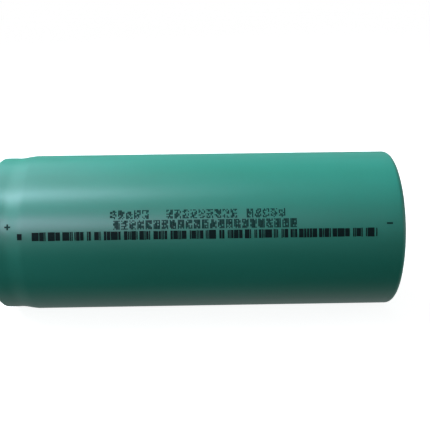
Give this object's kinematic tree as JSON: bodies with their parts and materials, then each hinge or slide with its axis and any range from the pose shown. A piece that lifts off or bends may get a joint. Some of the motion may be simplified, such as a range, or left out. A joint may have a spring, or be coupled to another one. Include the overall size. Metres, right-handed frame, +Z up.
{
  "type": "cylindrical battery cell",
  "caption": "Cylindrical lithium-ion battery cell, 26 mm by 65 mm, in a teal heat-shrunk sleeve, with the wound roll, crimped closure and vent disc inside.",
  "frame": {"origin": "the cell's centre, on its axis, midway between the two terminals", "axes": "X along the cell's axis, positive terminal at -X and negative terminal at +X; +Z up with the cell lying on its side"},
  "size_m": [0.0658, 0.026, 0.026],
  "materials": {
    "sleeve_film": "teal-green heat-shrink PVC film, satin gloss",
    "nickel_steel": "nickel-plated deep-drawn steel, semi-bright",
    "aluminium_foil": "bare aluminium, satin",
    "polypropylene": "natural polypropylene",
    "insulating_paper": "white fibre paper",
    "fuse_polymer": "carbon-filled polymer between nickel foils",
    "separator_film": "microporous white film",
    "cathode_coat": "black oxide coating on aluminium foil",
    "anode_coat": "dark graphite coating on copper foil",
    "tape": "amber polyimide tape"
  },
  "bodies": {
    "cell": {"sleeve": "sleeve_film", "can": "nickel_steel", "top_insulating_ring": "insulating_paper", "top_cap": "nickel_steel", "ptc_ring": "fuse_polymer", "vent_rim": "aluminium_foil", "vent_web": "aluminium_foil", "gasket": "polypropylene", "cid_insulator": "polypropylene", "weld_plate": "aluminium_foil", "positive_tab": "aluminium_foil", "positive_tab_tape": "tape", "negative_tab": "nickel_steel", "negative_tab_tape": "tape", "upper_insulator": "polypropylene", "lower_insulator": "polypropylene", "centre_pin": "nickel_steel", "cathode_sheet": "cathode_coat", "anode_sheet": "anode_coat", "inner_separator": "separator_film", "outer_separator": "separator_film", "roll_closing_tape": "tape"},
    "vent_centre": {"vent_button": "aluminium_foil"}
  },
  "joints": [
    {"name": "vent_snap", "type": "slide", "parent": "cell", "child": "vent_centre", "axis": [-1, 0, 0], "range_m": [0, 0.0007], "deforming": ["vent_web"]}
  ]
}
